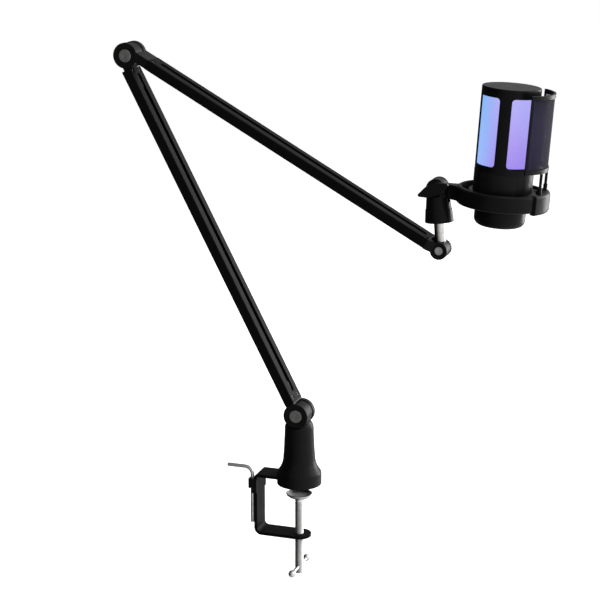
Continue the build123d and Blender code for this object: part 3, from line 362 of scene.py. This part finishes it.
def new_piece(name, mesh, node):
    """A piece that stands for a CAD node, on its body and with its finish."""
    piece = bpy.data.objects.new(name, mesh)
    bpy.context.scene.collection.objects.link(piece)
    apply_material(piece, MATERIALS[FINISH_OF[node]])
    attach(piece, BODY_OF[node])
    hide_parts(node)
    return piece


def softened(node, width_mm):
    """The CAD node with its sharp edges rounded, as moulded, cast or tumbled pieces are."""
    mesh = frame["nodes"][node].data.copy()
    mesh.name = node + "_soft"
    bm = bmesh.new()
    bm.from_mesh(mesh)
    bmesh.ops.remove_doubles(bm, verts=bm.verts, dist=1e-6)
    bmesh.ops.dissolve_limit(bm, angle_limit=math.radians(0.5), verts=bm.verts, edges=bm.edges)
    bm.to_mesh(mesh)
    bm.free()
    piece = new_piece(node + ".soft", mesh, node)
    bevel = piece.modifiers.new("rounding", "BEVEL")
    bevel.width = width_mm * MM
    bevel.segments = 2
    bevel.limit_method = "ANGLE"
    bevel.angle_limit = math.radians(32)
    bevel.use_clamp_overlap = True
    bevel.harden_normals = False
    smooth(mesh, 180)
    normals = piece.modifiers.new("normals", "WEIGHTED_NORMAL")
    normals.keep_sharp = True


def threaded_screw():
    """The clamp screw with its M8 coarse thread cut as a helix, fading at both ends, and a plain spigot."""
    low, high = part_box("clamp_screw")
    axis = (low + high) / 2
    radius = (high.x - low.x) / 2
    pitch, depth = 1.25 * MM, 0.62 * MM
    steepness, crest = 1.35, 0.2
    fade_length, fade_depth = 1 * MM, 0.6 * MM
    spigot, spigot_length = 2.6 * MM, 4.1 * MM
    around, steps = 40, 10
    thread_length = high.z - spigot_length - low.z

    def point(r, index, z):
        turn = index / around * math.tau
        return (axis.x + r * math.cos(turn), axis.y + r * math.sin(turn), z)

    rings = []
    count = int(thread_length / (pitch / steps))
    for row in range(count + 1):
        rise = thread_length * row / count
        full = min(rise / fade_length, (thread_length - rise) / fade_length, 1.0)
        ring = []
        for index in range(around):
            flank = abs(2 * ((rise / pitch - index / around) % 1.0) - 1)
            cut = min(max(flank * steepness - crest, 0.0), 1.0)
            ring.append(point(radius - depth * cut * full - (1 - full) * fade_depth, index, low.z + rise))
        rings.append(ring)
    for z in (low.z + thread_length, high.z):
        rings.append([point(spigot, index, z) for index in range(around)])

    faces = []
    for start in range(0, (len(rings) - 1) * around, around):
        for i in range(around):
            j = (i + 1) % around
            faces.append((start + i, start + j, start + around + j, start + around + i))
    faces.append(tuple(reversed(range(around))))
    faces.append(tuple(range((len(rings) - 1) * around, len(rings) * around)))
    mesh = bpy.data.meshes.new("clamp_screw_thread")
    mesh.from_pydata([corner for ring in rings for corner in ring], [], faces)
    mesh.update()
    smooth(mesh, 50)
    new_piece("clamp_screw.thread", mesh, "clamp_screw")


# ---------------------------------------------------------------- studio

def make_world():
    """White to the camera, a dim room for soft light, and in reflections walls that brighten to the right."""
    world = bpy.data.worlds.new("studio")
    bpy.context.scene.world = world
    world.use_nodes = True
    tree = world.node_tree
    tree.nodes.clear()
    path = tree.nodes.new("ShaderNodeLightPath")

    def background(strength):
        node = tree.nodes.new("ShaderNodeBackground")
        node.inputs["Color"].default_value = WHITE
        node.inputs["Strength"].default_value = strength
        return node

    def for_rays(kind, chosen, otherwise):
        """One background for a kind of ray and another for the rest."""
        node = tree.nodes.new("ShaderNodeMixShader")
        tree.links.new(path.outputs[kind], node.inputs[0])
        tree.links.new(otherwise.outputs[0], node.inputs[1])
        tree.links.new(chosen.outputs[0], node.inputs[2])
        return node

    towards = tree.nodes.new("ShaderNodeVectorMath")
    towards.operation = "DOT_PRODUCT"
    towards.inputs[1].default_value = (0.98, -0.05, 0.0)
    tree.links.new(tree.nodes.new("ShaderNodeTexCoord").outputs["Generated"], towards.inputs[0])
    grade = tree.nodes.new("ShaderNodeMapRange")
    tree.links.new(towards.outputs["Value"], grade.inputs["Value"])
    for name, value in {"From Min": -0.6, "From Max": 0.9, "To Min": 0.06, "To Max": 1.75}.items():
        grade.inputs[name].default_value = value
    walls = background(1.0)
    tree.links.new(grade.outputs[0], walls.inputs["Strength"])

    indoors = for_rays("Is Glossy Ray", walls, background(0.14))
    seen = for_rays("Is Camera Ray", background(1.0), indoors)
    tree.links.new(seen.outputs[0], tree.nodes.new("ShaderNodeOutputWorld").inputs["Surface"])


def make_floor(height):
    """A pale floor that neither lights the object nor shows in it."""
    reach = 12.0
    corners = [(x * reach, y * reach, height) for x, y in ((-1, -1), (1, -1), (1, 1), (-1, 1))]
    mesh = bpy.data.meshes.new("floor")
    mesh.from_pydata(corners, [], [(0, 1, 2, 3)])
    floor = bpy.data.objects.new("floor", mesh)
    bpy.context.scene.collection.objects.link(floor)
    g = Graph("pale_floor")
    pale = g.mix(g.noise(300, 3), (0.93, 0.93, 0.93), (0.95, 0.95, 0.95))
    apply_material(floor, g.finish(g.surface(Base_Color=pale, Roughness=0.9, Emission_Color=pale,
                                             Emission_Strength=0.9)))
    floor.visible_diffuse = False
    floor.visible_glossy = False


def soft_light(name, target, offset, size, power):
    """A rectangular lamp that faces the target from an offset."""
    data = bpy.data.lights.new(name, "AREA")
    data.shape = "RECTANGLE"
    data.size, data.size_y = size
    data.energy = power
    lamp = bpy.data.objects.new(name, data)
    bpy.context.scene.collection.objects.link(lamp)
    lamp.location = target + Vector(offset)
    lamp.rotation_euler = (target - lamp.location).to_track_quat("-Z", "Y").to_euler()


def make_studio():
    low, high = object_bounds()
    centre = (low + high) / 2
    make_world()
    make_floor(low.z - 4 * MM)
    soft_light("right_box", centre, (1.5, 0.35, 0.55), (0.8, 1.2), 9)
    soft_light("rim_box", centre, (1.05, 1.45, 0.25), (0.6, 1.4), 30)
    soft_light("top_box", centre, (0.5, 0.1, 1.6), (1.0, 1.0), 9)
    soft_light("front_fill", centre, (-0.4, -1.6, 0.4), (1.0, 1.0), 1.5)


def make_camera():
    """The camera looks slightly down from the front right, level, with a short telephoto lens."""
    azimuth, elevation = math.radians(19.0), math.radians(14.04)
    forward = Vector((-math.sin(azimuth) * math.cos(elevation), math.cos(azimuth) * math.cos(elevation),
                      -math.sin(elevation)))
    data = bpy.data.cameras.new("camera")
    data.lens = 103.14
    data.sensor_width = 36.0
    data.clip_start, data.clip_end = 0.01, 60
    camera = bpy.data.objects.new("camera", data)
    bpy.context.scene.collection.objects.link(camera)
    camera.location = (0.48616, -1.40989, 0.54606)
    camera.rotation_mode = "QUATERNION"
    camera.rotation_quaternion = forward.to_track_quat("-Z", "Y")
    bpy.context.scene.camera = camera
    bpy.context.scene.view_settings.view_transform = "Standard"


for node, width in SOFT_EDGES.items():
    softened(node, width)
threaded_screw()
make_studio()
make_camera()
